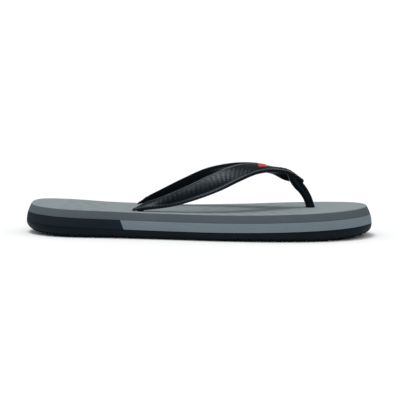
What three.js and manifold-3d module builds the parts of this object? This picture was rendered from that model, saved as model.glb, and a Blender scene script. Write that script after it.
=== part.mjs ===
// A flip flop for the right foot: a sole of bonded foam and rubber sheets, and a moulded Y strap
// whose toe post and two rear stems pass down through the sole and end in plugs under it.
// Millimetres. +X points to the toe, +Y to the inner side of the foot, +Z up; the ground is z = 0.
import * as THREE from "three";
import { mergeVertices } from "three/addons/utils/BufferGeometryUtils.js";
import Module from "manifold-3d";

// Sole
const soleLength = 276; // heel to toe, measured on the footbed's top edge
const soleWidth = 98; // across the ball, on the same edge
const footbedThickness = 6.8;
const midsoleThickness = 7.1;
const outsoleThickness = 6.7; // at the middle of the foot; it grows towards both ends
const glueGap = 0.3; // between sheets
const heelRise = 3.1; // how far the footbed curves up at the heel
const toeRise = 3.5;
const innerHeelLift = 1.5; // extra height of the inner edge at the back of the heel
const heelSpring = 3.0; // how far the outsole clears the ground at the heel's end
const toeSpring = 2.4;
const sideFlare = 4.6; // how far the side wall leans out
const flareDepth = 15; // depth at which it is widest
const edgeRounding = 6; // radius under the outsole's edge
const treadPitch = 9;
const treadGroove = 2;
const treadDepth = 1.4;
const spliceSlant = 3; // the splice in the midsole leans forward by this much on its way down

// Strap
const strapThickness = 2.8;
const strapCrown = 0.9; // how far an arm's face bulges between its edges
const strapHeight = 36.4; // top of the strap's middle plane above the footbed
const armTipThickness = 1.6; // at the pointed rear end of each arm
const armTipLength = 12; // over which it grows to the full thickness
const postRadius = 3.5;
const stemRadius = 2.7;
const plugRadius = 6.4;
const plugThickness = 2.8;
const badgeThickness = 0.8;

// Clearances
const holeClearance = 0.4; // between a post or stem and its hole, and round a plug
const restClearance = 0.3; // between the strap and the footbed, and under the badge
const plugRecess = 0.8; // how far a plug stays above the ground face

const halfLength = soleLength / 2;
const halfWidth = soleWidth / 2;
const midHeight = outsoleThickness + midsoleThickness + footbedThickness + 2 * glueGap;
const footbedBottom = footbedThickness; // depths below the footbed's top
const midsoleTop = footbedBottom + glueGap;
const midsoleBottom = midsoleTop + midsoleThickness;
const outsoleTop = midsoleBottom + glueGap;
const flatReach = 0.68; // share of the half length that lies flat on the ground
const spliceAt = -0.4; // lower end of the midsole splice, as a share of the half length

// Plan outline of the footbed from the heel round the outer side, the toe and the inner side:
// [along, across] as shares of the half length and the half width.
const outline = [
  [-0.995, 0.06],
  [-0.935, -0.41],
  [-0.783, -0.71],
  [-0.471, -0.78],
  [-0.145, -0.88],
  [0.181, -1.0],
  [0.493, -1.0],
  [0.761, -0.81],
  [0.935, -0.4],
  [1.0, 0.17],
  [0.945, 0.67],
  [0.783, 0.94],
  [0.543, 1.0],
  [0.217, 0.78],
  [-0.109, 0.6],
  [-0.435, 0.65],
  [-0.783, 0.71],
  [-0.96, 0.49],
];
const ringSteps = 96;

// The strap's edges from the rear anchor (station 0) over the crotch (6) to the tip (9):
// [along, across] as shares of the half length and half width, and the height above the footbed's
// middle as a share of the strap's height.
const outerArmOuterEdge = [
  [-0.359, -0.755, 0.02],
  [-0.261, -0.772, 0.055],
  [-0.116, -0.786, 0.134],
  [0.029, -0.782, 0.299],
  [0.159, -0.731, 0.491],
  [0.268, -0.612, 0.692],
  [0.366, -0.418, 0.837],
  [0.457, -0.204, 0.865],
  [0.547, -0.051, 0.791],
  [0.625, 0.07, 0.604],
];
const outerArmInnerEdge = [
  [-0.351, -0.704, 0.03],
  [-0.29, -0.616, 0.163],
  [-0.171, -0.633, 0.346],
  [-0.043, -0.602, 0.56],
  [0.076, -0.52, 0.775],
  [0.217, -0.312, 0.98],
  [0.348, -0.031, 1.0],
];
const innerArmInnerEdge = [
  [-0.37, 0.255, 0.02],
  [-0.333, 0.33, 0.137],
  [-0.225, 0.367, 0.365],
  [-0.101, 0.367, 0.607],
  [0.036, 0.316, 0.843],
  [0.196, 0.184, 0.978],
  [0.348, -0.031, 1.0],
];
const innerArmOuterEdge = [
  [-0.362, 0.327, 0.03],
  [-0.275, 0.449, 0.095],
  [-0.13, 0.531, 0.225],
  [0.007, 0.561, 0.404],
  [0.13, 0.541, 0.57],
  [0.254, 0.48, 0.724],
  [0.355, 0.398, 0.8],
  [0.435, 0.327, 0.775],
  [0.522, 0.235, 0.62],
  [0.623, 0.163, 0.593],
];
const ridge = [
  [0.348, -0.031, 1.0],
  [0.435, 0.051, 0.91],
  [0.529, 0.102, 0.82],
  [0.628, 0.12, 0.598],
];
const crotchStation = 6;
const tipStation = 9;
const stationSteps = 4; // sections between two stations
const acrossSteps = 6;

// Where the strap goes through the sole, and the curve of the toe post above it
const anchors = {
  post: [0.671, 0.112],
  outerStem: [-0.312, -0.69],
  innerStem: [-0.325, 0.365],
};
const postCurve = [
  [0.574, 0.122, 0.7],
  [0.588, 0.122, 0.553],
  [0.617, 0.127, 0.422],
  [0.642, 0.131, 0.278],
  [0.657, 0.128, 0.162],
  [0.667, 0.118, 0.045],
];

const wasm = await Module();
wasm.setup();

function toSolid(geometry) {
  const bare = new THREE.BufferGeometry().setAttribute("position", geometry.getAttribute("position"));
  bare.setIndex(geometry.index);
  const merged = mergeVertices(bare, 1e-4);
  const mesh = new wasm.Mesh({
    numProp: 3,
    vertProperties: merged.attributes.position.array,
    triVerts: new Uint32Array(merged.index.array),
  });
  return new wasm.Manifold(mesh);
}

function toGeometry(solid) {
  const mesh = solid.getMesh();
  const geometry = new THREE.BufferGeometry();
  geometry.setAttribute("position", new THREE.BufferAttribute(new Float32Array(mesh.vertProperties), 3));
  geometry.setIndex(new THREE.BufferAttribute(mesh.triVerts, 1));
  geometry.computeVertexNormals();
  return geometry;
}

// Height of the footbed's top: a shallow rocker, plus the lift at the inner back edge.
function footbedHeight(x, y) {
  const rise = x < 0 ? heelRise : toeRise;
  const back = THREE.MathUtils.clamp((-x / halfLength - 0.58) / 0.4, 0, 1);
  const inward = THREE.MathUtils.clamp(y / halfWidth + 0.2, 0, 1);
  return midHeight + rise * (x / halfLength) ** 2 + innerHeelLift * back * inward;
}

// Height of the ground face: flat under the middle, curving up towards both ends.
function groundHeight(x) {
  const spring = x < 0 ? heelSpring : toeSpring;
  const beyond = Math.max(0, Math.abs(x) / halfLength - flatReach) / (1 - flatReach);
  return spring * beyond ** 2;
}

const outlineCurve = new THREE.CatmullRomCurve3(
  outline.map(([along, across]) => new THREE.Vector3(along * halfLength, across * halfWidth, 0)),
  true,
);

// One closed ring of the side wall: the outline moved outwards, at the heights that heightAt gives.
function wallRing(outset, heightAt) {
  return Array.from({ length: ringSteps }, (_, i) => {
    const point = outlineCurve.getPointAt(i / ringSteps);
    const tangent = outlineCurve.getTangentAt(i / ringSteps);
    const x = point.x + tangent.y * outset;
    const y = point.y - tangent.x * outset;
    return new THREE.Vector3(x, y, heightAt(point.x, point.y));
  });
}

// The side wall's lean at a depth below the footbed: a parabola that is widest at flareDepth.
function flareAt(depth) {
  return sideFlare * (1 - (1 - Math.min(depth, flareDepth) / flareDepth) ** 2);
}

function ringAtDepth(depth) {
  return wallRing(flareAt(depth), (x, y) => footbedHeight(x, y) - depth);
}

// A ring on the rounded edge under the outsole, at an angle from level (0) to straight down (90).
function ringAtEdge(degrees) {
  const angle = THREE.MathUtils.degToRad(degrees);
  const outset = sideFlare - edgeRounding * (1 - Math.cos(angle));
  const lift = edgeRounding * (1 - Math.sin(angle));
  return wallRing(outset, (x) => groundHeight(x) + lift);
}

// A closed sheet from rings listed bottom to top. Both faces join the outer side to the inner side.
function sheetSolid(rings) {
  const positions = rings.flat().flatMap((p) => [p.x, p.y, p.z]);
  const index = [];
  for (let k = 0; k + 1 < rings.length; k++) {
    for (let i = 0; i < ringSteps; i++) {
      const next = (i + 1) % ringSteps;
      const low = k * ringSteps;
      const high = low + ringSteps;
      index.push(low + i, low + next, high + next);
      index.push(low + i, high + next, high + i);
    }
  }
  const top = (rings.length - 1) * ringSteps;
  for (let i = 0; i < ringSteps / 2; i++) {
    const a = i;
    const b = i + 1;
    const c = ringSteps - i - 1;
    const d = (ringSteps - i) % ringSteps;
    if (b !== c) {
      index.push(top + a, top + b, top + c);
      index.push(c, b, a);
    }
    if (a !== d) {
      index.push(top + a, top + c, top + d);
      index.push(d, c, a);
    }
  }
  const geometry = new THREE.BufferGeometry();
  geometry.setAttribute("position", new THREE.Float32BufferAttribute(positions, 3));
  geometry.setIndex(index);
  return toSolid(geometry);
}

// A block across the whole sole whose side view has the given [x, z] corners.
function crossBlock(corners) {
  const shape = new THREE.Shape(corners.map(([x, z]) => new THREE.Vector2(x, z)));
  const depth = 2 * soleWidth;
  const block = new THREE.ExtrudeGeometry(shape, { depth, bevelEnabled: false });
  block.rotateX(Math.PI / 2).translate(0, depth / 2, 0);
  return toSolid(block);
}

function anchorPoint([along, across]) {
  return [along * halfLength, across * halfWidth];
}

// The cut for one post or stem: plug recess, hole, and a dimple in the footbed's top.
function anchorCut(anchor, radius) {
  const [x, y] = anchorPoint(anchor);
  const top = footbedHeight(x, y);
  const recessTop = groundHeight(x) + plugRecess + plugThickness + holeClearance;
  const hole = radius + holeClearance;
  const profile = [
    [0, -1],
    [plugRadius + holeClearance, -1],
    [plugRadius + holeClearance, recessTop],
    [hole, recessTop],
    [hole, top - 2],
    [hole + 2.5, top + 0.5],
    [0, top + 0.5],
  ];
  const cut = new THREE.LatheGeometry(profile.map(([r, z]) => new THREE.Vector2(r, z)), 24);
  cut.rotateX(Math.PI / 2).translate(x, y, 0);
  return toSolid(cut);
}

const anchorCuts = [
  anchorCut(anchors.post, postRadius),
  anchorCut(anchors.outerStem, stemRadius),
  anchorCut(anchors.innerStem, stemRadius),
];

function withAnchorHoles(solid) {
  return anchorCuts.reduce((left, cut) => left.subtract(cut), solid);
}

function makeFootbed() {
  const rings = [footbedBottom, 3.4, 0.8, 0].map(ringAtDepth);
  return withAnchorHoles(sheetSolid(rings));
}

function makeMidsole() {
  return withAnchorHoles(sheetSolid([midsoleBottom, midsoleTop].map(ringAtDepth)));
}

// The midsole is two sheets that meet at a slanted splice.
function spliceBlock(direction) {
  const x = spliceAt * halfLength + (direction * glueGap) / 2;
  const far = direction * soleLength;
  const low = outsoleThickness - 2 * midsoleThickness;
  const high = low + 4 * midsoleThickness;
  const corners = [[x + 2 * spliceSlant, low], [far, low], [far, high], [x - 2 * spliceSlant, high]];
  return crossBlock(direction > 0 ? corners : corners.reverse());
}

function makeOutsole() {
  const rings = [90, 65, 40, 18, 0].map(ringAtEdge);
  rings.push(ringAtDepth(outsoleTop));
  let sole = withAnchorHoles(sheetSolid(rings));
  for (const [from, to] of [[-0.93, -0.4], [0.2, 0.93]]) {
    const count = Math.floor(((to - from) * halfLength) / treadPitch);
    for (let i = 0; i <= count; i++) {
      const x = from * halfLength + i * treadPitch;
      const high = groundHeight(x) + treadDepth;
      const corners = [[x, -1], [x + treadGroove, -1], [x + treadGroove, high], [x, high]];
      sole = sole.subtract(crossBlock(corners));
    }
  }
  return sole;
}

function strapPoint([along, across, height]) {
  return new THREE.Vector3(along * halfLength, across * halfWidth, midHeight + height * strapHeight);
}

function strapCurve(points) {
  return new THREE.CatmullRomCurve3(points.map(strapPoint));
}

const ridgeCurve = strapCurve(ridge);
const outerArm = { outer: strapCurve(outerArmOuterEdge), inner: strapCurve(outerArmInnerEdge) };
const innerArm = { outer: strapCurve(innerArmOuterEdge), inner: strapCurve(innerArmInnerEdge) };

function ridgePoint(station) {
  const past = Math.max(0, station - crotchStation) / (tipStation - crotchStation);
  return ridgeCurve.getPoint(past);
}

// A point of an arm's middle plane: straight between its edges, plus a bulge. Up to the crotch the
// bulge stands square to the arm; past it, it turns both halves into one arch over the ridge.
function armPoint(arm, station, share) {
  const outer = arm.outer.getPoint(station / tipStation);
  const pastCrotch = station >= crotchStation;
  const inner = pastCrotch ? ridgePoint(station) : arm.inner.getPoint(station / crotchStation);
  const along = arm.outer.getTangent(station / tipStation);
  const facing = arm === outerArm ? 1 : -1;
  const square = along.cross(inner.clone().sub(outer)).normalize().multiplyScalar(facing * strapCrown);
  const arch = ridgePoint(station).multiplyScalar(2);
  arch.sub(outerArm.outer.getPoint(station / tipStation));
  arch.sub(innerArm.outer.getPoint(station / tipStation)).multiplyScalar(1 / 8);
  const bulge = square.lerp(arch, THREE.MathUtils.smoothstep(station, crotchStation - 1, crotchStation));
  return outer.lerp(inner, share).addScaledVector(bulge, 4 * share * (1 - share));
}

function gridIndex(rows, columns, flipped) {
  const index = [];
  for (let i = 0; i < rows; i++) {
    for (let j = 0; j < columns; j++) {
      const a = i * (columns + 1) + j;
      const b = a + columns + 1;
      const quad = flipped ? [a, a + 1, b + 1, b] : [a, b, b + 1, a + 1];
      index.push(quad[0], quad[1], quad[2], quad[0], quad[2], quad[3]);
    }
  }
  return index;
}

// An open patch of an arm's middle plane, facing away from the foot.
function armPatch(arm, stations, shares) {
  const positions = stations.flatMap((station) =>
    shares.flatMap((share) => armPoint(arm, station, share).toArray()),
  );
  const patch = new THREE.BufferGeometry();
  patch.setAttribute("position", new THREE.Float32BufferAttribute(positions, 3));
  patch.setIndex(gridIndex(stations.length - 1, shares.length - 1, arm === innerArm));
  return patch;
}

function steps(from, to, count) {
  return Array.from({ length: count + 1 }, (_, i) => from + ((to - from) * i) / count);
}

function joined(patches) {
  const positions = patches.flatMap((patch) => [...patch.attributes.position.array]);
  let offset = 0;
  const index = patches.flatMap((patch) => {
    const moved = [...patch.index.array].map((i) => i + offset);
    offset += patch.attributes.position.count;
    return moved;
  });
  const all = new THREE.BufferGeometry();
  all.setAttribute("position", new THREE.Float32BufferAttribute(positions, 3));
  all.setIndex(index);
  return mergeVertices(all, 1e-3);
}

// Gives an open surface a wall: its vertices move out along their normals to the two offsets that
// offsetsAt gives, and each free edge gets a strip that joins the two copies.
function thicken(surface, offsetsAt) {
  surface.computeVertexNormals();
  const { position, normal } = surface.attributes;
  const count = position.count;
  const points = [[], []];
  for (let i = 0; i < count; i++) {
    const at = new THREE.Vector3().fromBufferAttribute(position, i);
    const out = new THREE.Vector3().fromBufferAttribute(normal, i);
    offsetsAt(at).forEach((offset, side) => points[side].push(at.clone().addScaledVector(out, offset)));
  }
  const faces = surface.index.array;
  const edges = new Set();
  const index = [];
  for (let f = 0; f < faces.length; f += 3) {
    const [a, b, c] = faces.slice(f, f + 3);
    index.push(a, b, c, c + count, b + count, a + count);
    edges.add(`${a},${b}`).add(`${b},${c}`).add(`${c},${a}`);
  }
  for (const edge of edges) {
    const [a, b] = edge.split(",").map(Number);
    if (!edges.has(`${b},${a}`)) index.push(b, a, a + count, b, a + count, b + count);
  }
  const solid = new THREE.BufferGeometry();
  const positions = points.flat().flatMap((p) => [p.x, p.y, Math.max(p.z, seatHeight(p))]);
  solid.setAttribute("position", new THREE.Float32BufferAttribute(positions, 3));
  solid.setIndex(index);
  return toSolid(solid);
}

// Nothing of the strap lies lower than this on the footbed.
function seatHeight(point) {
  return footbedHeight(point.x, point.y) + restClearance;
}

function makeStrapArms() {
  const stations = steps(0, tipStation, tipStation * stationSteps);
  const shares = steps(0, 1, acrossSteps);
  const halves = [armPatch(outerArm, stations, shares), armPatch(innerArm, stations, shares)];
  const tipX = outerArmOuterEdge[0][0] * halfLength;
  return thicken(joined(halves), (at) => {
    const past = THREE.MathUtils.smoothstep(at.x, tipX, tipX + armTipLength);
    const half = THREE.MathUtils.lerp(armTipThickness, strapThickness, past) / 2;
    return [half, -half];
  });
}

function plugHeight(x) {
  return groundHeight(x) + plugRecess;
}

// A plug: a disc with a rounded lower edge.
function makePlug(anchor) {
  const [x, y] = anchorPoint(anchor);
  const z = plugHeight(x);
  const bevel = 0.8;
  const profile = [
    [0, z],
    [plugRadius - bevel, z],
    [plugRadius, z + bevel],
    [plugRadius, z + plugThickness],
    [0, z + plugThickness],
  ];
  const plug = new THREE.LatheGeometry(profile.map(([r, h]) => new THREE.Vector2(r, h)), 24);
  plug.rotateX(Math.PI / 2).translate(x, y, 0);
  return toSolid(plug);
}

function makeStem(anchor) {
  const [x, y] = anchorPoint(anchor);
  const low = plugHeight(x) + plugThickness / 2;
  const high = footbedHeight(x, y) + restClearance + strapThickness;
  const stem = new THREE.CylinderGeometry(stemRadius, stemRadius, high - low, 16);
  stem.rotateX(Math.PI / 2).translate(x, y, (low + high) / 2);
  return toSolid(stem);
}

function makePost() {
  const [x, y] = anchorPoint(anchors.post);
  const low = plugHeight(x) + plugThickness / 2;
  const inSole = footbedHeight(x, y) - footbedThickness / 2;
  const points = postCurve.map(strapPoint);
  points.push(new THREE.Vector3(x, y, inSole), new THREE.Vector3(x, y, (low + inSole) / 2));
  points.push(new THREE.Vector3(x, y, low));
  const circle = new THREE.Shape().absarc(0, 0, postRadius, 0, 2 * Math.PI);
  const path = new THREE.CatmullRomCurve3(points);
  const options = { extrudePath: path, steps: 28, curveSegments: 8, bevelEnabled: false };
  return toSolid(new THREE.ExtrudeGeometry(circle, options));
}

function makeStrap() {
  const parts = [
    makeStem(anchors.outerStem),
    makeStem(anchors.innerStem),
    makePost(),
    makePlug(anchors.outerStem),
    makePlug(anchors.innerStem),
    makePlug(anchors.post),
  ];
  return parts.reduce((whole, part) => whole.add(part), makeStrapArms());
}

// A small plain bar inlaid on the outer arm beside the crotch; it follows the strap's face.
function makeBadge() {
  const patch = armPatch(outerArm, steps(6.1, 6.62, 4), steps(0.4, 0.8, 4));
  const under = strapThickness / 2 + restClearance;
  return thicken(mergeVertices(patch, 1e-3), () => [under + badgeThickness, under]);
}

const flipFlop = new THREE.Group();

function addPiece(name, solid, color, roughness) {
  const material = new THREE.MeshStandardMaterial({ color, roughness, metalness: 0 });
  const mesh = new THREE.Mesh(toGeometry(solid), material);
  mesh.name = name;
  flipFlop.add(mesh);
}

const midsole = makeMidsole();
addPiece("footbed", makeFootbed(), 0x8b9899, 0.9);
addPiece("midsole_heel", midsole.intersect(spliceBlock(-1)), 0x1c242b, 0.8);
addPiece("midsole_forefoot", midsole.intersect(spliceBlock(1)), 0x74828b, 0.85);
addPiece("outsole", makeOutsole(), 0x1f272e, 0.75);
addPiece("strap", makeStrap(), 0x14181c, 0.5);
addPiece("strap_badge", makeBadge(), 0xb53a44, 0.5);

export default flipFlop;
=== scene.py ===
"""A flip flop for the right foot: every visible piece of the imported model, made fine and finished.

Metres, in the model's own frame: +X to the toe, +Y to the inner side of the foot, +Z up."""

import bmesh
import bpy
import numpy as np
from mathutils import Matrix, Vector


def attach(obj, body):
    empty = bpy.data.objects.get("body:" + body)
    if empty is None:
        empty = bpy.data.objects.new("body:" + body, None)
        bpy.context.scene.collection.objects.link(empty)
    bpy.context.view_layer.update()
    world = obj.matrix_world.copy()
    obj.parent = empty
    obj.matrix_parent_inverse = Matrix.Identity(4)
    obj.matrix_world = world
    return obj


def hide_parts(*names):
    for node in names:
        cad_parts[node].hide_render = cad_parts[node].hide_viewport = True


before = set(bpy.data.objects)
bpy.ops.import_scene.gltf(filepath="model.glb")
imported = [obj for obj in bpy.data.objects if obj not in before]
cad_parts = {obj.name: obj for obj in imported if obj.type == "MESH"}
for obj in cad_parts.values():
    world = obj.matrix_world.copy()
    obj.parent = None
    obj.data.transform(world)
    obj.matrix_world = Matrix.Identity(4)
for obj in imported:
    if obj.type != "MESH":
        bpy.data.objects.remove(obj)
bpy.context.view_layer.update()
MM = 0.001

# ---- The view -------------------------------------------------------------------------------
# A long lens close to the ground on the outer side of the shoe, swung a little to the toe's side.
camera_distance = 1.6
camera_swing = np.radians(4.94)
camera_rise = np.radians(6.57)
camera_roll = np.radians(0.3)
view_width = 0.3288  # what the picture spans at the shoe
aim_right, aim_up = 2.06 * MM, 27.6 * MM  # the aim's place, as the camera sees it

away = Vector(
    (
        -np.sin(camera_swing) * np.cos(camera_rise),
        np.cos(camera_swing) * np.cos(camera_rise),
        -np.sin(camera_rise),
    )
)
level = Vector((np.cos(camera_swing), np.sin(camera_swing), 0))
camera_place = away * -camera_distance
aim = level * aim_right + level.cross(away) * aim_up
sight = (aim - camera_place).normalized()
across_view = Matrix.Rotation(-camera_roll, 3, sight) @ sight.cross(Vector((0, 0, 1))).normalized()
axes = Matrix((across_view, across_view.cross(sight), -sight)).transposed().to_4x4()
lens = bpy.data.cameras.new("camera")
lens.sensor_width = 36
lens.lens = 36 * camera_distance / view_width
lens.clip_end = 100
camera = bpy.data.objects.new("camera", lens)
camera.matrix_world = Matrix.Translation(camera_place) @ axes
bpy.context.scene.collection.objects.link(camera)
bpy.context.scene.camera = camera
bpy.context.scene.view_settings.view_transform = "Standard"

# ---- The studio -----------------------------------------------------------------------------
# A pale paper floor in a bright, even surround, under one round overhead light that is small
# enough to give rubber its gleams and wide enough to keep its shadows soft.
floor_reach = 40.0
floor_drop = 0.1 * MM  # keeps the floor clear of the outsole's face
floor_colour = (0.92, 0.915, 0.91, 1)
overhead_strength = 1.45
overhead_spread = np.radians(24)
overhead_lean = (np.radians(-4), np.radians(-12), 0)  # it stands behind the shoe, to its heel
surround_colour = (0.965, 0.985, 1.0, 1)
surround_strength = 0.72
surround_mirrored = 0.32  # its strength in reflections, since a real studio is dark in front
surround_seen = 1.1  # its strength past the floor's end, where it is plain white


def named_socket(sockets, name):
    """The socket with that identifier, or else with that name."""
    return next((socket for socket in sockets if socket.identifier == name), None) or sockets[name]


def add_node(tree, kind, inputs=None, **settings):
    """Adds a shader node. An input that is given an output socket is linked, others are set."""
    made = tree.nodes.new("ShaderNode" + kind)
    for name, value in settings.items():
        setattr(made, name, value)
    for name, value in (inputs or {}).items():
        target = named_socket(made.inputs, name)
        if isinstance(value, bpy.types.NodeSocket):
            tree.links.new(value, target)
        else:
            target.default_value = value
    return made


def new_material(name, roughness, inputs):
    """A material with a Principled shader; returns the material, its tree and that shader."""
    material = bpy.data.materials.new(name)
    material.use_nodes = True
    shader = material.node_tree.nodes["Principled BSDF"]
    shader.inputs["Roughness"].default_value = roughness
    for key, value in inputs.items():
        shader.inputs[key].default_value = value
    return material, material.node_tree, shader


def calculate(tree, operation, *values):
    """A Math node over sockets and numbers."""
    node = add_node(tree, "Math", operation=operation)
    for socket, value in zip(node.inputs, values):
        if isinstance(value, bpy.types.NodeSocket):
            tree.links.new(value, socket)
        else:
            socket.default_value = value
    return node.outputs["Value"]


floor_mesh = bpy.data.meshes.new("floor")
floor_corners = [
    (x * floor_reach, y * floor_reach, -floor_drop) for x, y in ((-1, -1), (1, -1), (1, 1), (-1, 1))
]
floor_mesh.from_pydata(floor_corners, [], [(0, 1, 2, 3)])
floor = bpy.data.objects.new("floor", floor_mesh)
bpy.context.scene.collection.objects.link(floor)
paper, _, _ = new_material("paper", 0.9, {"Base Color": floor_colour, "Specular IOR Level": 0.1})
floor_mesh.materials.append(paper)

overhead = bpy.data.lights.new("overhead", "SUN")
overhead.energy = overhead_strength
overhead.angle = overhead_spread
lamp = bpy.data.objects.new("overhead", overhead)
lamp.rotation_euler = overhead_lean
bpy.context.scene.collection.objects.link(lamp)

surround = bpy.data.worlds.new("surround")
surround.use_nodes = True
backdrop = surround.node_tree.nodes["Background"].inputs
backdrop["Color"].default_value = surround_colour
rays = add_node(surround.node_tree, "LightPath").outputs
strength = surround_strength
for kind, its_strength in (("Is Glossy Ray", surround_mirrored), ("Is Camera Ray", surround_seen)):
    change = its_strength - surround_strength
    strength = calculate(surround.node_tree, "MULTIPLY_ADD", rays[kind], change, strength)
surround.node_tree.links.new(strength, backdrop["Strength"])
bpy.context.scene.world = surround

# ---- Footbed --------------------------------------------------------------------------------
# The soft foam sheet that the foot rests on. Its top has a pressed skin with a faint print of
# waves, its side is cut clean, and three dimpled holes take the strap. Cemented to the midsole.
half_length = 138 * MM  # of the footbed's top edge
half_width = 49 * MM
middle_height = 21.2 * MM
heel_rise, toe_rise = 3.1 * MM, 3.5 * MM
inner_heel_lift = 1.5 * MM
lift_start, lift_stretch, lift_across = 0.58, 0.4, 0.2  # shares of the half length and half width
side_flare = 4.6 * MM
flare_depth = 15 * MM
footbed_joint = 6.95 * MM  # depth of the glue line below the footbed's top
joint_gap = 0.05 * MM
sheet_edge = 0.3 * MM  # rounding of a sheet's edge at a glue line
top_edge = 0.8 * MM
heel_spring, toe_spring = 3.0 * MM, 2.4 * MM
flat_reach = 0.68  # share of the half length that lies flat on the ground
outline_shares = [
    # along and across, from the heel round the outer side, the toe and the inner side
    (-0.995, 0.06),
    (-0.935, -0.41),
    (-0.783, -0.71),
    (-0.471, -0.78),
    (-0.145, -0.88),
    (0.181, -1.0),
    (0.493, -1.0),
    (0.761, -0.81),
    (0.935, -0.4),
    (1.0, 0.17),
    (0.945, 0.67),
    (0.783, 0.94),
    (0.543, 1.0),
    (0.217, 0.78),
    (-0.109, 0.6),
    (-0.435, 0.65),
    (-0.783, 0.71),
    (-0.96, 0.49),
]
post_radius, stem_radius = 3.5 * MM, 2.7 * MM
post_dimple, stem_dimple = (3.2 * MM, 1.9 * MM), (1.8 * MM, 0.9 * MM)  # reach and depth
plug_radius, plug_thickness, plug_recess = 6.4 * MM, 2.8 * MM, 0.8 * MM
strap_passages = {
    # where it goes through, its radius there, and the dimple round it
    "post": ((0.671 * half_length, 0.112 * half_width), post_radius, post_dimple),
    "outer_stem": ((-0.312 * half_length, -0.69 * half_width), stem_radius, stem_dimple),
    "inner_stem": ((-0.325 * half_length, 0.365 * half_width), stem_radius, stem_dimple),
}
hole_room = 0.12 * MM
overshoot = 5 * MM  # how far a cutting shape stands out of the sole
merge_distance = 0.002 * MM
round_sides = 40
end_crowding = 0.55
crease_angle = np.radians(38)  # a sharper edge is drawn crisp
print_zones = ((45 * MM, 44 * MM), (-92 * MM, 20 * MM))  # middle and reach along the foot
wave_pitch, wave_reach, wave_length = 13 * MM, 6 * MM, 46 * MM
print_strength, print_fade = 0.3, 4 * MM
skin_facing = 0.55  # faces that look up at least this much carry the skin
skin_colour = (0.241, 0.281, 0.289)
footbed_colour = (0.08, 0.099, 0.111)


def smooth_curve(points, t, closed=False):
    """Centripetal Catmull-Rom curve. t counts the given points, so 2.5 is halfway from the third
    to the fourth. Each stretch is a cubic between two points, whose slopes there come from the
    neighbouring points, weighted by the square roots of their distances."""
    points = np.asarray(points, float)
    if closed:
        run = np.vstack([points[-1:], points, points[:2]])
    else:
        run = np.vstack([2 * points[:1] - points[1:2], points, 2 * points[-1:] - points[-2:-1]])
    t = np.asarray(t, float)
    stretch = np.clip(np.floor(t).astype(int), 0, len(run) - 4)
    w = (t - stretch)[..., None]
    before, start, end, after = (run[stretch + k] for k in range(4))
    pairs = ((before, start), (start, end), (end, after))
    a, b, c = (np.linalg.norm(q - p, axis=-1, keepdims=True) ** 0.5 for p, q in pairs)
    leave = ((start - before) / a - (end - before) / (a + b) + (end - start) / b) * b
    arrive = ((end - start) / b - (after - start) / (b + c) + (after - end) / c) * b
    curve = (2 * w**3 - 3 * w**2 + 1) * start + (w**3 - 2 * w**2 + w) * leave
    return curve + (3 * w**2 - 2 * w**3) * end + (w**3 - w**2) * arrive


def ramp(value, start, end):
    """0 up to start, 1 from end, and a smooth cubic step between them."""
    share = np.clip((value - start) / (end - start), 0, 1)
    return share * share * (3 - 2 * share)


def footbed_height(x, y):
    """Height of the footbed's top: a parabola that rises to each end, plus a lift at the back of
    the heel that grows towards the inner side."""
    along = np.clip(x / half_length, -1, 1)
    back = np.clip((-along - lift_start) / lift_stretch, 0, 1)
    inward = np.clip(np.clip(y / half_width, -1, 1) + lift_across, 0, 1)
    rise = np.where(along < 0, heel_rise, toe_rise)
    return middle_height + rise * along**2 + inner_heel_lift * back * inward


def ground_height(x):
    """Height of the outsole's face: flat on the ground, and a parabola up towards each end."""
    beyond = np.maximum(0, np.abs(x) / half_length - flat_reach) / (1 - flat_reach)
    return np.where(x < 0, heel_spring, toe_spring) * beyond**2


def flare_at(depth):
    """How far the side wall leans out at a depth: a parabola that is widest at flare_depth."""
    return side_flare * (1 - (1 - min(depth, flare_depth) / flare_depth) ** 2)


outline_steps = 6000
outline_points = smooth_curve(
    np.array(outline_shares) * (half_length, half_width),
    np.linspace(0, len(outline_shares), outline_steps, endpoint=False),
    closed=True,
)
outline_run = np.roll(outline_points, -1, axis=0) - np.roll(outline_points, 1, axis=0)
outline_out = np.stack([outline_run[:, 1], -outline_run[:, 0]], axis=1)
outline_out /= np.linalg.norm(outline_out, axis=1, keepdims=True)


def sole_sides(outset):
    """The outline moved outwards by outset, as two runs from heel to toe: outer and inner side."""
    ring = outline_points + outline_out * outset
    ring = np.roll(ring, -np.argmin(ring[:, 0]), axis=0)
    toe = np.argmax(ring[:, 0])
    return ring[: toe + 1], np.vstack([ring[toe:], ring[:1]])[::-1]


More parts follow.
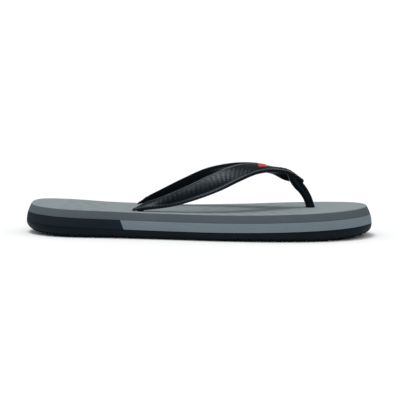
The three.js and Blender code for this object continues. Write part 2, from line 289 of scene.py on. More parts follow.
def mesh_from_grids(name, grids, raised=None):
    """A smooth closed mesh from grids of points, each (points, closed across or not). Rows that
    shrink to one point and edges that meet are merged, and the faces are turned outwards. Grids of
    values in raised become the mesh's attribute of that name."""
    points, quads, used = [], [], 0
    for grid, closed_across in grids:
        rows, columns = grid.shape[:2]
        i, j = np.meshgrid(np.arange(rows - 1), np.arange(columns - 1 + closed_across), indexing="ij")
        beside = (j + 1) % columns
        round_quad = ((i, j), (i + 1, j), (i + 1, beside), (i, beside))
        corners = [row * columns + column for row, column in round_quad]
        quads.append(np.stack(corners, axis=-1).reshape(-1, 4) + used)
        points.append(grid.reshape(-1, 3))
        used += rows * columns
    points, quads = np.vstack(points), np.vstack(quads)
    mesh = bpy.data.meshes.new(name)
    mesh.vertices.add(len(points))
    mesh.vertices.foreach_set("co", points.astype(np.float32).ravel())
    mesh.loops.add(quads.size)
    mesh.loops.foreach_set("vertex_index", quads.astype(np.int32).ravel())
    mesh.polygons.add(len(quads))
    mesh.polygons.foreach_set("loop_start", np.arange(0, quads.size, 4, dtype=np.int32))
    mesh.update(calc_edges=True)
    if raised:
        values = np.concatenate([grid.ravel() for grid in raised]).astype(np.float32)
        mesh.attributes.new("raised", "FLOAT", "POINT").data.foreach_set("value", values)
    build = bmesh.new()
    build.from_mesh(mesh)
    bmesh.ops.remove_doubles(build, verts=build.verts, dist=merge_distance)
    bmesh.ops.recalc_face_normals(build, faces=build.faces)
    build.to_mesh(mesh)
    build.free()
    mesh.polygons.foreach_set("use_smooth", np.ones(len(mesh.polygons), bool))
    return mesh


def crowded(count, crowding):
    """Steps from 0 to 1: even ones, mixed with a share of ones that a cosine crowds to the ends."""
    even = np.linspace(0, 1, count)
    return (1 - crowding) * even + crowding * (1 - np.cos(np.pi * even)) / 2


def sole_sheet(name, rings, sections, over_top, over_bottom):
    """A closed sheet of the sole. Each section from heel to toe runs over the top from the outer
    to the inner side, down the inner wall, back along the bottom and up the outer wall. A ring of
    the wall is (outset, height of its points as a function of x and y). The first ring carries
    the top, and the last one the bottom."""
    spread = crowded(sections, end_crowding)
    last = len(rings) - 1
    path = [(0, share) for share in np.linspace(0, 1, over_top + 1)]
    path += [(k, 1.0) for k in range(1, last)]
    path += [(last, share) for share in np.linspace(1, 0, over_bottom + 1)]
    path += [(k, 0.0) for k in range(last - 1, 0, -1)]
    columns = []
    for ring, share in path:
        outset, height = rings[ring]
        outer, inner = sole_sides(outset)
        x = outer[0, 0] + (outer[-1, 0] - outer[0, 0]) * spread
        y_outer = np.interp(x, outer[:, 0], outer[:, 1])
        y = y_outer + (np.interp(x, inner[:, 0], inner[:, 1]) - y_outer) * share
        columns.append(np.stack([x, y, height(x, y)], axis=1))
    return mesh_from_grids(name, [(np.stack(columns, axis=1), True)])


def wall_corner(depth, radius, downwards):
    """Wall rings round a sheet's edge: a quarter circle that starts or ends on the side wall."""
    rings = []
    for angle in np.radians(np.linspace(0, 90, 5)):
        drop = radius * (1 - np.cos(angle)) * (1 if downwards else -1)
        outset = flare_at(depth + drop) - radius * (1 - np.sin(angle))
        rings.append((outset, lambda x, y, below=depth + drop: footbed_height(x, y) - below))
    return rings if downwards else rings[::-1]


def wall_stretch(start, end, count):
    """Wall rings at even depths between two others."""
    return [
        (flare_at(depth), lambda x, y, below=depth: footbed_height(x, y) - below)
        for depth in np.linspace(start, end, count + 2)[1:-1]
    ]


def put(name, mesh, node):
    """Puts a finished mesh into the scene as the piece that stands for that CAD node."""
    piece = bpy.data.objects.new(name, mesh)
    bpy.context.scene.collection.objects.link(piece)
    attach(piece, "root")
    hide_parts(node)


def turned(profile, centre):
    """Points of a surface turned about an upright axis from (radius, height) pairs."""
    profile = np.array(profile)
    angle = np.linspace(0, 2 * np.pi, round_sides, endpoint=False)
    points = np.zeros((len(profile), round_sides, 3))
    points[..., 0] = centre[0] + profile[:, :1] * np.cos(angle)
    points[..., 1] = centre[1] + profile[:, :1] * np.sin(angle)
    points[..., 2] = profile[:, 1:]
    return points


def passage_space(centre, radius, dimple):
    """The space of one strap hole: plug recess, hole, and a dimple that is a parabola in section
    and follows the slope of the footbed."""
    snug = radius + hole_room
    recess_top = float(ground_height(centre[0])) + plug_recess + plug_thickness + hole_room
    recess = plug_radius + hole_room
    below = [(0, -overshoot), (recess, -overshoot), (recess, recess_top), (snug, recess_top)]
    reach, depth = dimple
    shares = np.linspace(0, 1, 12)
    skim = 0.01 * MM  # keeps the dimple's rim just off the footbed's face
    above = [(snug + reach * share, skim - depth * (1 - share) ** 2) for share in shares]
    above += [(snug + reach, overshoot), (0, overshoot)]
    points = turned(below + above, centre)
    upper = points[len(below) :]
    upper[..., 2] += footbed_height(upper[..., 0], upper[..., 1])
    return points


def cut_passages(mesh):
    """Takes the three strap holes out of a sheet of the sole."""
    spaces = [(passage_space(*passage), True) for passage in strap_passages.values()]
    return combine(mesh, mesh_from_grids("passages", spaces), "DIFFERENCE")


def combine(mesh, tool_mesh, operation):
    """The union or difference of two closed meshes, as a new mesh with crisp edges kept crisp."""
    base, tool = (bpy.data.objects.new("solid", shape) for shape in (mesh, tool_mesh))
    bpy.context.scene.collection.objects.link(base)
    bpy.context.scene.collection.objects.link(tool)
    step = base.modifiers.new("combine", "BOOLEAN")
    step.operation = operation
    step.solver = "EXACT"
    step.object = tool
    shape = base.evaluated_get(bpy.context.evaluated_depsgraph_get())
    result = bpy.data.meshes.new_from_object(shape)
    bpy.data.objects.remove(base)
    bpy.data.objects.remove(tool)
    result.polygons.foreach_set("use_smooth", np.ones(len(result.polygons), bool))
    result.set_sharp_from_angle(angle=crease_angle)
    result.name = mesh.name
    return result


def shade(colour, factor):
    """A colour made lighter or darker, with its alpha."""
    return (*(min(1.0, part * factor) for part in colour), 1.0)


def mix_colours(tree, factor, first, second):
    """Goes from the first colour to the second as the factor goes from 0 to 1."""
    inputs = {"Factor_Float": factor, "A_Color": first, "B_Color": second}
    mixed = add_node(tree, "Mix", inputs, data_type="RGBA")
    return named_socket(mixed.outputs, "Result_Color")


def noise(tree, spot, scale):
    """Noise from 0 to 1 with features of about 1/scale metres."""
    inputs = {"Vector": spot, "Scale": scale, "Detail": 3.0}
    return add_node(tree, "TexNoise", inputs).outputs["Fac"]


def fade(tree, value, start, end, low=0.0, high=1.0):
    """low up to start, high from end, and a straight ramp between them."""
    inputs = {"Value": value, "From Min": start, "From Max": end, "To Min": low, "To Max": high}
    return add_node(tree, "MapRange", inputs).outputs["Result"]


def relief(tree, height, depth, below=None):
    """A bump of that depth over an earlier one."""
    inputs = {"Height": height, "Distance": depth}
    if below:
        inputs["Normal"] = below
    return add_node(tree, "Bump", inputs).outputs["Normal"]


def cut_foam(name, colour):
    """The cut side of closed-cell foam: soft changes of tone, level lines left by the knife, and
    small open cells, darkened as painted shade in their hollows."""
    material, tree, shader = new_material(name, 0.85, {"Specular IOR Level": 0.15})
    spot = add_node(tree, "TexCoord").outputs["Object"]
    tone = mix_colours(tree, noise(tree, spot, 40), shade(colour, 0.88), shade(colour, 1.12))
    stretched = {"Vector": spot, "Scale": (0.03, 0.03, 1.0)}
    lines = noise(tree, add_node(tree, "Mapping", stretched).outputs["Vector"], 1500)
    tone = mix_colours(tree, fade(tree, lines, 0.35, 0.7, 0, 0.5), tone, shade(colour, 1.2))
    # Painted shade: the colour darkens at the middle of each small cell, where the bump sinks it in.
    cells = add_node(tree, "TexVoronoi", {"Vector": spot, "Scale": 1500}).outputs["Distance"]
    tone = mix_colours(tree, fade(tree, cells, 0.12, 0.3, 0.35, 0), tone, shade(colour, 0.6))
    tree.links.new(tone, shader.inputs["Base Color"])
    bumps = relief(tree, lines, 0.05 * MM)
    tree.links.new(relief(tree, cells, 0.08 * MM, bumps), shader.inputs["Normal"])
    return material


def printed_skin():
    """The footbed's pressed skin: a fine pebble grain, softly uneven in tone, with a faint darker
    print of waves under the ball of the foot and in the heel."""
    material, tree, shader = new_material("footbed_skin", 0.7, {"Specular IOR Level": 0.35})
    spot = add_node(tree, "TexCoord").outputs["Object"]
    parts = add_node(tree, "SeparateXYZ", {"Vector": spot}).outputs
    tone = mix_colours(tree, noise(tree, spot, 26), shade(skin_colour, 0.92), shade(skin_colour, 1.08))
    specks = fade(tree, noise(tree, spot, 900), 0.35, 0.65, 0.25, 0)
    tone = mix_colours(tree, specks, tone, shade(skin_colour, 0.75))
    sway = calculate(tree, "SINE", calculate(tree, "MULTIPLY", parts["Y"], 2 * np.pi / wave_length))
    phase = calculate(tree, "MULTIPLY_ADD", sway, wave_reach, parts["X"])
    wave = calculate(tree, "SINE", calculate(tree, "MULTIPLY", phase, 2 * np.pi / wave_pitch))
    band = fade(tree, wave, -0.15, 0.1)
    for centre, reach in print_zones:
        offset = calculate(tree, "ABSOLUTE", calculate(tree, "SUBTRACT", parts["X"], centre))
        print_zone = fade(tree, offset, reach, reach - print_fade)
        inked = calculate(tree, "MULTIPLY", band, print_zone)
        ink = calculate(tree, "MULTIPLY", inked, print_strength)
        tone = mix_colours(tree, ink, tone, shade(skin_colour, 0.66))
    tree.links.new(tone, shader.inputs["Base Color"])
    pebbles = add_node(
        tree, "TexVoronoi", {"Vector": spot, "Scale": 700, "Smoothness": 0.6}, feature="SMOOTH_F1"
    )
    grain = relief(tree, pebbles.outputs["Distance"], 0.12 * MM)
    tree.links.new(relief(tree, noise(tree, spot, 2400), 0.03 * MM, grain), shader.inputs["Normal"])
    return material


def face_vectors(mesh, kind):
    """The centres or the normals of a mesh's faces, one row each."""
    values = np.zeros(len(mesh.polygons) * 3)
    mesh.polygons.foreach_get(kind, values)
    return values.reshape(-1, 3)


footbed_rings = wall_corner(0, top_edge, True)
footbed_rings += wall_stretch(top_edge, footbed_joint - joint_gap / 2 - sheet_edge, 5)
footbed_rings += wall_corner(footbed_joint - joint_gap / 2, sheet_edge, False)
footbed_mesh = cut_passages(sole_sheet("footbed", footbed_rings, 360, over_top=56, over_bottom=10))
footbed_mesh.materials.clear()
footbed_mesh.materials.append(cut_foam("footbed_side", footbed_colour))
footbed_mesh.materials.append(printed_skin())
middles = face_vectors(footbed_mesh, "center")
near_top = footbed_height(middles[:, 0], middles[:, 1]) - middles[:, 2] < post_dimple[1]
looks_up = face_vectors(footbed_mesh, "normal")[:, 2] > skin_facing
footbed_mesh.polygons.foreach_set("material_index", (near_top & looks_up).astype(np.int32))
put("footbed_sheet", footbed_mesh, "footbed")

# ---- Midsole --------------------------------------------------------------------------------
# The middle sheet of the sole, in two pieces of foam that meet at a slanted glued splice under
# the front of the heel: a light one to the toe and a dark one at the heel.
outsole_joint = 14.35 * MM
splice_place = (-0.4 * half_length, 6.7 * MM)  # x and z
splice_lean = -0.4225  # how far x moves for each unit of height
forefoot_colour = (0.16, 0.2, 0.226)
dark_foam_colour = (0.008, 0.014, 0.02)


def spliced_piece(mesh, side):
    """The part of the midsole on one side of the splice: cut by a plane, and closed there."""
    build = bmesh.new()
    build.from_mesh(mesh)
    facing = Vector((1, 0, -splice_lean)).normalized() * side
    cut = bmesh.ops.bisect_plane(
        build,
        geom=[*build.verts, *build.edges, *build.faces],
        plane_co=Vector((splice_place[0] + side * joint_gap / 2, 0, splice_place[1])),
        plane_no=facing,
        clear_inner=True,
    )
    rim = [part for part in cut["geom_cut"] if isinstance(part, bmesh.types.BMEdge)]
    bmesh.ops.edgenet_fill(build, edges=rim)
    bmesh.ops.triangulate(build, faces=[face for face in build.faces if len(face.verts) > 4])
    bmesh.ops.recalc_face_normals(build, faces=build.faces)
    piece = bpy.data.meshes.new(mesh.name)
    build.to_mesh(piece)
    build.free()
    piece.set_sharp_from_angle(angle=crease_angle)
    piece.materials.clear()
    return piece


midsole_rings = wall_corner(footbed_joint + joint_gap / 2, sheet_edge, True)
midsole_rings += wall_stretch(footbed_joint + sheet_edge, outsole_joint - sheet_edge, 5)
midsole_rings += wall_corner(outsole_joint - joint_gap / 2, sheet_edge, False)
midsole_mesh = cut_passages(sole_sheet("midsole", midsole_rings, 360, over_top=10, over_bottom=10))
forefoot_mesh = spliced_piece(midsole_mesh, 1)
forefoot_mesh.materials.append(cut_foam("midsole_light_foam", forefoot_colour))
put("forefoot_sheet", forefoot_mesh, "midsole_forefoot")
heel_mesh = spliced_piece(midsole_mesh, -1)
heel_mesh.materials.append(cut_foam("midsole_dark_foam", dark_foam_colour))
put("heel_sheet", heel_mesh, "midsole_heel")

# ---- Outsole --------------------------------------------------------------------------------
# The moulded rubber sheet on the ground: a rounded edge, zigzag grooves under the heel and the
# ball, a smooth arch, and a round recess for each plug of the strap. Cemented to the midsole.
edge_rounding = 6 * MM
groove_pitch = 3 * MM
heel_first_groove, ball_first_groove = -127.34 * MM, 28.6 * MM
zigzag_reach, zigzag_pitch = 1.5 * MM, 12 * MM
fine_groove, deep_groove = (1.2 * MM, 0.9 * MM), (2.0 * MM, 1.4 * MM)  # width and depth
groove_wall = 0.35 * MM
heel_tread_end, ball_tread_start, tread_fade = -0.4, 0.2, 0.01  # shares of the half length
groove_run_out = np.radians((30, 70))  # where on the rounded edge the grooves fade in
outsole_colour = (0.0045, 0.0085, 0.0128)


def tread_depth(x, y):
    """How deep the tread is cut: grooves at an even pitch that zigzag across the foot, every third
    one wider and deeper, and none under the arch."""
    sway = zigzag_reach * np.abs((y / zigzag_pitch % 1) * 2 - 1)
    turn = (x + sway - np.where(x < 0, heel_first_groove, ball_first_groove)) / groove_pitch
    nearest = np.round(turn)
    deep = nearest % 3 == 0
    half = np.where(deep, deep_groove[0], fine_groove[0]) / 2
    depth = np.where(deep, deep_groove[1], fine_groove[1])
    open_part = 1 - ramp(np.abs(turn - nearest) * groove_pitch, half - groove_wall, half)
    place = x / half_length
    heel_zone = 1 - ramp(place, heel_tread_end - tread_fade, heel_tread_end + tread_fade)
    ball_zone = ramp(place, ball_tread_start - tread_fade, ball_tread_start + tread_fade)
    return depth * open_part * np.maximum(heel_zone, ball_zone)


def outsole_edge():
    """Wall rings round the outsole's lower edge: a quarter circle down to the ground face, where
    the grooves run out."""
    rings = []
    for angle in np.radians(np.linspace(0, 90, 11)):
        outset = side_flare - edge_rounding * (1 - np.cos(angle))
        lift = edge_rounding * (1 - np.sin(angle))
        share = ramp(angle, *groove_run_out)
        rings.append(
            (outset, lambda x, y, up=lift, part=share: ground_height(x) + up + part * tread_depth(x, y))
        )
    return rings


def moulded_rubber(name, colour):
    """Moulded rubber: a fine even grain, soft changes of tone, and a little dust in the grain."""
    material, tree, shader = new_material(name, 0.6, {"Specular IOR Level": 0.08})
    spot = add_node(tree, "TexCoord").outputs["Object"]
    tone = mix_colours(tree, noise(tree, spot, 50), shade(colour, 0.8), shade(colour, 1.25))
    dust = fade(tree, noise(tree, spot, 700), 0.55, 0.8, 0, 0.35)
    tree.links.new(mix_colours(tree, dust, tone, shade(colour, 1.9)), shader.inputs["Base Color"])
    patches = fade(tree, noise(tree, spot, 90), 0.3, 0.7, 0.5, 0.68)
    tree.links.new(patches, shader.inputs["Roughness"])
    grain = relief(tree, noise(tree, spot, 1700), 0.06 * MM)
    tree.links.new(grain, shader.inputs["Normal"])
    return material


outsole_rings = wall_corner(outsole_joint + joint_gap / 2, sheet_edge, True)
outsole_rings += outsole_edge()
outsole_mesh = cut_passages(sole_sheet("outsole", outsole_rings, 900, over_top=8, over_bottom=44))
outsole_mesh.materials.clear()
outsole_mesh.materials.append(moulded_rubber("outsole_rubber", outsole_colour))
put("outsole_sheet", outsole_mesh, "outsole")

# ---- Strap ----------------------------------------------------------------------------------
# One moulding of soft rubber: two arms that widen from pointed rear ends and join in a V, and a
# round toe post. The outer face has a smooth rim, a row of slanted stitch ridges along it, which
# are painted pale as a painted highlight, and dashed ribs between. The post and a stem under each
# rear end go through the sole to plugs.
strap_height = 36.4 * MM  # top of the strap's middle plane above the footbed
strap_half = 1.4 * MM  # half the thickness
rear_half = 0.8 * MM
rear_taper = 12 * MM
strap_crown = 0.9 * MM
seat_gap = 0.03 * MM  # over the footbed, into which no point of an arm may sink
crotch_station, tip_station = 6, 9
crotch_row, rows_past_crotch = 460, 180  # the crotch lies on that row
columns_per_arm = 34
edge_crowding = 0.6
outer_arm_outer_edge = [
    # along, across, and height as a share of the strap's
    (-0.359, -0.755, 0.02),
    (-0.261, -0.772, 0.055),
    (-0.116, -0.786, 0.134),
    (0.029, -0.782, 0.299),
    (0.159, -0.731, 0.491),
    (0.268, -0.612, 0.692),
    (0.366, -0.418, 0.837),
    (0.457, -0.204, 0.865),
    (0.547, -0.051, 0.791),
    (0.625, 0.07, 0.604),
]
outer_arm_inner_edge = [
    (-0.351, -0.704, 0.03),
    (-0.29, -0.616, 0.163),
    (-0.171, -0.633, 0.346),
    (-0.043, -0.602, 0.56),
    (0.076, -0.52, 0.775),
    (0.217, -0.312, 0.98),
    (0.348, -0.031, 1.0),
]
inner_arm_inner_edge = [
    (-0.37, 0.255, 0.02),
    (-0.333, 0.33, 0.137),
    (-0.225, 0.367, 0.365),
    (-0.101, 0.367, 0.607),
    (0.036, 0.316, 0.843),
    (0.196, 0.184, 0.978),
    (0.348, -0.031, 1.0),
]
inner_arm_outer_edge = [
    (-0.362, 0.327, 0.03),
    (-0.275, 0.449, 0.095),
    (-0.13, 0.531, 0.225),
    (0.007, 0.561, 0.404),
    (0.13, 0.541, 0.57),
    (0.254, 0.48, 0.724),
    (0.355, 0.398, 0.8),
    (0.435, 0.327, 0.775),
    (0.522, 0.235, 0.62),
    (0.623, 0.163, 0.593),
]
ridge_line = [(0.348, -0.031, 1.0), (0.435, 0.051, 0.92), (0.529, 0.102, 0.845), (0.628, 0.12, 0.598)]
post_line = [
    (0.576, 0.118, 0.654),
    (0.593, 0.122, 0.553),
    (0.623, 0.127, 0.422),
    (0.647, 0.131, 0.278),
    (0.66, 0.128, 0.162),
    (0.668, 0.118, 0.045),
]
post_start = 2.34  # where on the ridge line the post begins
post_start_facing = np.array([-0.45, 0, -0.89])  # straight down from the strap's plane there
post_entry, post_below_middle = 3.4 * MM, 2 * MM  # places of the points that lead it down its hole
post_steps, stem_steps = 110, 60
square_share = 0.16  # how much of its line a tube takes to turn its rings square
post_flare, post_flare_stretch = 0.9 * MM, (1 * MM, 24 * MM)  # it thickens under the strap
bead, bead_height, bead_spread = 0.35 * MM, 0.4 * MM, 0.9 * MM  # slight, where it meets the footbed
stem_neck, stem_neck_length = 0.9 * MM, 3 * MM  # a stem is slimmer where it leaves the arm
stem_entry = 1.5 * MM
plug_dish, plug_ring, plug_rounding = (3.2 * MM, 0.5 * MM), (3.7 * MM, 5.0 * MM), 0.8 * MM
rim_width = 0.85 * MM
stitch_width, stitch_pitch, stitch_height, stitch_slant = 1.7 * MM, 1.9 * MM, 0.38 * MM, 0.6
rib_margin, rib_pitch, rib_height = 3.3 * MM, 2.0 * MM, 0.22 * MM
rib_slant, dash_length = 0.45, 4.4 * MM
stitch_wall, rib_wall = 0.35 * MM, 0.4 * MM
pattern_start = (4 * MM, 14 * MM)  # from the rear end
rear_relief = 0.4  # how much of the pattern's height is left on the rear of an arm
pattern_growth = (-0.2 * half_length, 0.15 * half_length)  # where it grows to its full height
ridge_margin, ridge_fade = 0.2, 0.3  # shares across the arm, and stations before the crotch
badge_from, badge_to = 6.1, 6.62  # stations
badge_low, badge_high = 0.36, 0.8  # shares across the arm
badge_margin = 0.05  # stations and shares round the badge that stay plain
strap_colour = (0.0014, 0.0029, 0.0047)
painted_glint_colour = (0.19, 0.21, 0.225, 1)  # painted highlight: the gleam of the stitch ridges, painted pale into their colour
rubber_gleam = (0.72, 0.88, 1.0, 1)  # the slightly blue tint of the strap's reflections

stations = np.concatenate(
    [
        np.linspace(0, crotch_station, crotch_row + 1),
        np.linspace(crotch_station, tip_station, rows_past_crotch + 1)[1:],
    ]
)
arm_shares = crowded(columns_per_arm + 1, edge_crowding)


def strap_curve(shares, t):
    """Points of one of the strap's lines: a smooth curve through points given as shares."""
    points = np.array(shares) * (half_length, half_width, strap_height) + (0, 0, middle_height)
    return smooth_curve(points, t)


def arm_sheet(outer_edge, inner_edge, facing, station, share):
    """The middle plane of an arm at stations along it and shares across it: straight between the
    edges, plus a bulge of 4s(1-s). Up to the crotch the bulge stands square to the arm; past it,
    the bulge makes both halves of the V one arch over the ridge."""
    nudge = 1e-4
    outer = strap_curve(outer_edge, station)
    ridge = strap_curve(ridge_line, np.maximum(station - crotch_station, 0))
    free = strap_curve(inner_edge, np.minimum(station, crotch_station))
    inner = np.where(station[:, None] < crotch_station, free, ridge)
    ahead = strap_curve(outer_edge, np.minimum(station + nudge, tip_station))
    along = ahead - strap_curve(outer_edge, np.maximum(station - nudge, 0))
    square = np.cross(along, inner - outer)
    square *= facing * strap_crown / np.linalg.norm(square, axis=1, keepdims=True)
    edges = strap_curve(outer_arm_outer_edge, station) + strap_curve(inner_arm_outer_edge, station)
    arch = (2 * ridge - edges) / 8
    bulge = square + (arch - square) * ramp(station, crotch_station - 1, crotch_station)[:, None]
    s = share[None, :, None]
    return outer[:, None] + (inner - outer)[:, None] * s + bulge[:, None] * 4 * s * (1 - s)


def unit(vectors):
    """Vectors scaled to a length of one."""
    return vectors / np.linalg.norm(vectors, axis=-1, keepdims=True)


def outward(sheet, facing):
    """Unit normals of an arm's grid: the slope along it crossed with the slope across it."""
    along, across = np.gradient(sheet, axis=(0, 1))
    return facing * unit(np.cross(along, across))


def edge_measure(sheet, edge):
    """How far each point of a sheet is from a line of points, and how far along the line its
    nearest place is: the smallest distance to any of the line's short stretches."""
    stretches = np.diff(edge, axis=0)
    lengths = np.linalg.norm(stretches, axis=1)
    begins = np.concatenate([[0], np.cumsum(lengths)])
    nearest = np.full(sheet.shape[:2], np.inf)
    place = np.zeros(sheet.shape[:2])
    for start, stretch, length, begin in zip(edge, stretches, lengths, begins):
        offset = sheet - start
        share = np.clip(offset @ stretch / length**2, 0, 1)
        distance = np.linalg.norm(offset - share[..., None] * stretch, axis=-1)
        closer = distance < nearest
        nearest = np.where(closer, distance, nearest)
        place = np.where(closer, begin + share * length, place)
    return nearest, place


def stitch_ridges(distance, place):
    """Slanted ridges in a band along the edge: a rounded wave along the edge, shifted in
    proportion to the distance from it, inside the band."""
    turn = (place + stitch_slant * distance) / stitch_pitch
    bar = ramp(np.cos(2 * np.pi * turn), -0.45, 0.65)
    band_end = rim_width + stitch_width
    band = ramp(distance, rim_width, rim_width + stitch_wall)
    band *= 1 - ramp(distance, band_end - stitch_wall, band_end)
    return stitch_height * bar * band


def dashed_ribs(sheet, distance):
    """Slanted ribs across the middle of the arm, broken into dashes: a rounded wave over the
    length plus a share of the width, times a slower wave over the width that shifts by half its
    length from rib to rib."""
    steps_along = np.linalg.norm(np.diff(sheet, axis=0), axis=-1).mean(axis=1)
    along = np.concatenate([[0], np.cumsum(steps_along)])[:, None]
    steps_across = np.linalg.norm(np.diff(sheet, axis=1), axis=-1)
    across = np.concatenate([np.zeros((len(sheet), 1)), np.cumsum(steps_across, axis=1)], axis=1)
    across = across - across[:, -1:] / 2
    turn = (along + rib_slant * across) / rib_pitch
    rib = ramp(np.cos(2 * np.pi * turn), -0.6, 0.9)
    dash = 0.55 + 0.45 * np.cos(2 * np.pi * across / dash_length + np.pi * np.round(turn))
    return rib_height * rib * dash * ramp(distance, rib_margin, rib_margin + rib_wall)


def pattern_share(sheet, facing):
    """How strong an arm's raised pattern is, from 0 to 1: it fades in from the rear end, grows to
    the middle of the arm, and leaves out the ridge of the V and the badge's place."""
    x = sheet[..., 0]
    share = ramp(x - x.min(), *pattern_start)
    share *= rear_relief + (1 - rear_relief) * ramp(x, *pattern_growth)
    past_crotch = ramp(stations, crotch_station - ridge_fade, crotch_station)
    share *= 1 - np.outer(past_crotch, ramp(arm_shares, 1 - ridge_margin, 1))
    if facing > 0:
        along = (stations > badge_from - badge_margin) & (stations < badge_to + badge_margin)
        across = (arm_shares > badge_low - badge_margin) & (arm_shares < badge_high + badge_margin)
        share *= 1 - np.outer(along, across)
    return share


def free_edge(sheet):
    """An arm's free edge as one line of points: back from the crotch, round the rear end, along
    the outer edge and across the tip, with no point twice."""
    line = np.vstack([sheet[crotch_row::-1, -1], sheet[0, ::-1], sheet[:, 0], sheet[-1]])
    moved = np.linalg.norm(np.diff(line, axis=0), axis=1) > 1e-9
    return line[np.concatenate([[True], moved])]


def arm_thickness(sheet, distance):
    """Half the thickness of an arm: even but for the slimmer rear end, and a quarter circle down
    to nothing along the free edge."""
    past_rear = ramp(sheet[..., 0] - sheet[..., 0].min(), 0, rear_taper)
    half = rear_half + (strap_half - rear_half) * past_rear
    rounding = np.clip(distance / half, 0, 1)
    return half * np.sqrt(1 - (1 - rounding) ** 2)


def post_or_stem(line, radii, start_facing):
    """A round tube along a line of points with its own radius at each, closed at both ends. Each
    ring is a circle square to the line whose points slide along the tube until they lie in one
    plane: the plane of the strap at the start, and square to the line after the first part."""
    square = unit(np.gradient(line, axis=0))
    share = ramp(np.arange(len(line)), 0, len(line) * square_share)[:, None]
    facing = unit(start_facing * (1 - share) + square * share)
    side = unit(np.cross(square, (0, 1, 0)))
    other = np.cross(square, side)
    angle = np.linspace(0, 2 * np.pi, round_sides, endpoint=False)[None, :, None]
    around = np.cos(angle) * side[:, None] + np.sin(angle) * other[:, None]
    slide = -np.sum(around * facing[:, None], axis=-1) / np.sum(square * facing, axis=-1)[:, None]
    around += slide[..., None] * square[:, None]
    tube = line[:, None] + around * radii[:, None, None]
    first, final = (np.repeat(end[None], round_sides, axis=0)[None] for end in (line[0], line[-1]))
    return np.concatenate([first, tube, final])


def plug_disc(centre):
    """A plug: a disc with a rounded lower edge and a shallow dish in its face."""
    low = float(ground_height(centre[0])) + plug_recess
    dish_radius, dish_depth = plug_dish
    profile = [(0, low + dish_depth), (dish_radius, low + dish_depth)]
    profile += [(radius, low) for radius in plug_ring]
    for angle in np.radians(np.linspace(0, 90, 6)):
        inward, up = plug_rounding * (1 - np.sin(angle)), plug_rounding * (1 - np.cos(angle))
        profile.append((plug_radius - inward, low + up))
    profile += [(plug_radius, low + plug_thickness), (0, low + plug_thickness)]
    return turned(profile, centre)


def post_points():
    """The toe post: from inside the V along its curve, then straight down its hole. Its radius
    grows by a smooth step towards the strap and by a small bell curve at the footbed."""
    (x, y), radius, _ = strap_passages["post"]
    points = np.array(post_line) * (half_length, half_width, strap_height) + (0, 0, middle_height)
    top = float(footbed_height(x, y))
    low = float(ground_height(x)) + plug_recess + plug_thickness / 2
    heights = (top - post_entry, (top + low) / 2 - post_below_middle, low)
    down_the_hole = [(x, y, height) for height in heights]
    points = np.vstack([strap_curve(ridge_line, np.array([post_start])), points, down_the_hole])
    line = smooth_curve(points, np.linspace(0, len(points) - 1, post_steps))
    travelled = np.concatenate([[0], np.cumsum(np.linalg.norm(np.diff(line, axis=0), axis=1))])
    under_strap = post_flare * (1 - ramp(travelled, *post_flare_stretch))
    at_footbed = bead * np.exp(-(((line[:, 2] - top - bead_height) / bead_spread) ** 2))
    return post_or_stem(line, radius + under_strap + at_footbed, post_start_facing)


def stem_points(passage, sheet, normals):
    """A rear stem: from the middle of the arm's end nearest to its hole, where it is slimmer, down
    through the hole to the middle of its plug."""
    (x, y), radius, _ = strap_passages[passage]
    middle = sheet.shape[1] // 2
    nearest = np.argmin(np.linalg.norm(sheet[:, middle, :2] - (x, y), axis=1))
    start = sheet[nearest, middle]
    top = float(footbed_height(x, y))
    low = float(ground_height(x)) + plug_recess + plug_thickness / 2
    points = np.array([start, (x, y, top - stem_entry), (x, y, (top + low) / 2), (x, y, low)])
    line = smooth_curve(points, np.linspace(0, len(points) - 1, stem_steps))
    radii = radius - stem_neck * (1 - ramp(start[2] - line[:, 2], 0, stem_neck_length))
    return post_or_stem(line, radii, -normals[nearest, middle])


def soft_rubber(name, colour, roughness, inputs):
    """Moulded soft rubber with a satin face: a very fine grain, rubbed patches that shine a little
    more, a trace of lighter wear in the grain, and a painted highlight: ridges made pale where the
    mesh is marked raised."""
    material, tree, shader = new_material(name, roughness, inputs)
    spot = add_node(tree, "TexCoord").outputs["Object"]
    tone = mix_colours(tree, noise(tree, spot, 60), shade(colour, 0.75), shade(colour, 1.3))
    wear = fade(tree, noise(tree, spot, 450), 0.55, 0.85, 0, 0.4)
    tone = mix_colours(tree, wear, tone, shade(colour, 2.2))
    raised = add_node(tree, "Attribute", attribute_name="raised").outputs["Fac"]
    # Painted highlight: the stitch ridges are mixed towards a pale colour, as if they caught the light.
    tone = mix_colours(tree, fade(tree, raised, 0.25, 1.0), tone, painted_glint_colour)
    tree.links.new(tone, shader.inputs["Base Color"])
    rubbed = fade(tree, noise(tree, spot, 110), 0.3, 0.7, roughness - 0.07, roughness + 0.08)
    tree.links.new(rubbed, shader.inputs["Roughness"])
    tree.links.new(relief(tree, noise(tree, spot, 2200), 0.025 * MM), shader.inputs["Normal"])
    return material


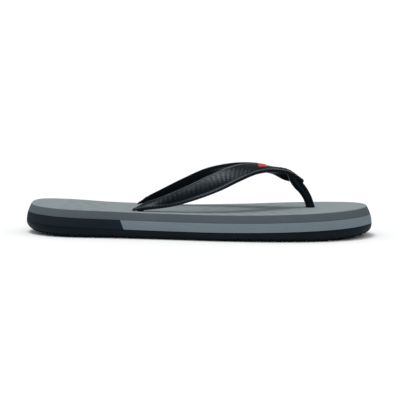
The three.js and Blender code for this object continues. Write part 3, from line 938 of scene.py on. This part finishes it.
arm_edges = [
    (outer_arm_outer_edge, outer_arm_inner_edge, 1),
    (inner_arm_outer_edge, inner_arm_inner_edge, -1),
]
arm_sheets = [arm_sheet(*edges, stations, arm_shares) for edges in arm_edges]
arm_normals = [outward(sheet, edges[2]) for sheet, edges in zip(arm_sheets, arm_edges)]
shared = unit(arm_normals[0][crotch_row:, -1] + arm_normals[1][crotch_row:, -1])
strap_grids, stitched = [], []
for sheet, normals, (_, _, facing) in zip(arm_sheets, arm_normals, arm_edges):
    normals[crotch_row:, -1] = shared
    distance, place = edge_measure(sheet, free_edge(sheet))
    thickness = arm_thickness(sheet, distance)
    pattern_strength = pattern_share(sheet, facing)
    stitches = stitch_ridges(distance, place) * pattern_strength
    pattern = stitches + dashed_ribs(sheet, distance) * pattern_strength
    for side, height in ((1, thickness + pattern), (-1, thickness)):
        points = sheet + side * normals * height[..., None]
        floor_level = footbed_height(points[..., 0], points[..., 1]) + seat_gap
        points[..., 2] = np.maximum(points[..., 2], floor_level)
        strap_grids.append((points, False))
    # How much of each point is stitch ridge, for the painted highlight that the strap's material puts
    # there.
    stitched += [stitches / stitch_height, np.zeros_like(stitches)]
arms_mesh = mesh_from_grids("strap", strap_grids, stitched)
passing = [(post_points(), True)]
for passage, sheet, normals in zip(("outer_stem", "inner_stem"), arm_sheets, arm_normals):
    passing.append((stem_points(passage, sheet, normals), True))
strap_mesh = combine(arms_mesh, mesh_from_grids("passing", passing), "UNION")
plugs = [(plug_disc(centre), True) for centre, _, _ in strap_passages.values()]
strap_mesh = combine(strap_mesh, mesh_from_grids("plugs", plugs), "UNION")
strap_mesh.materials.clear()
strap_finish = {"Specular IOR Level": 0.16, "Specular Tint": rubber_gleam}
strap_mesh.materials.append(soft_rubber("strap_rubber", strap_colour, 0.27, strap_finish))
put("strap_moulding", strap_mesh, "strap")

# ---- Badge ----------------------------------------------------------------------------------
# A small plain bar of coloured rubber on the outer arm, beside the crotch. It follows the arm's
# face, its edges are rounded, and it is glued down.
badge_height = 0.75 * MM
badge_rounding = 0.5 * MM
badge_gap = 0.02 * MM
badge_wall = 0.1  # share of the rounding over which the bar's side stands up
badge_crease = np.radians(50)
badge_colour = (0.52, 0.035, 0.042)

badge_stations = np.linspace(badge_from, badge_to, 34)
badge_shares = np.linspace(badge_low, badge_high, 30)
badge_sheet = arm_sheet(*arm_edges[0], badge_stations, badge_shares)
badge_normals = outward(badge_sheet, 1)
badge_edge = np.vstack(
    [badge_sheet[:, 0], badge_sheet[-1, 1:], badge_sheet[-2::-1, -1], badge_sheet[0, -2::-1]]
)
badge_distance, _ = edge_measure(badge_sheet, badge_edge)
badge_turn = np.clip(badge_distance / badge_rounding, 0, 1)
badge_rise = (badge_height - badge_rounding) * ramp(badge_turn, 0, badge_wall)
badge_rise += badge_rounding * np.sqrt(1 - (1 - badge_turn) ** 2)
badge_base = badge_sheet + badge_normals * (strap_half + badge_gap)
badge_face = badge_base + badge_normals * badge_rise[..., None]
badge_mesh = mesh_from_grids("strap_badge", [(badge_base, False), (badge_face, False)])
badge_mesh.set_sharp_from_angle(angle=badge_crease)
badge_finish = {"Specular IOR Level": 0.4}
badge_mesh.materials.append(soft_rubber("badge_rubber", badge_colour, 0.42, badge_finish))
put("badge_bar", badge_mesh, "strap_badge")
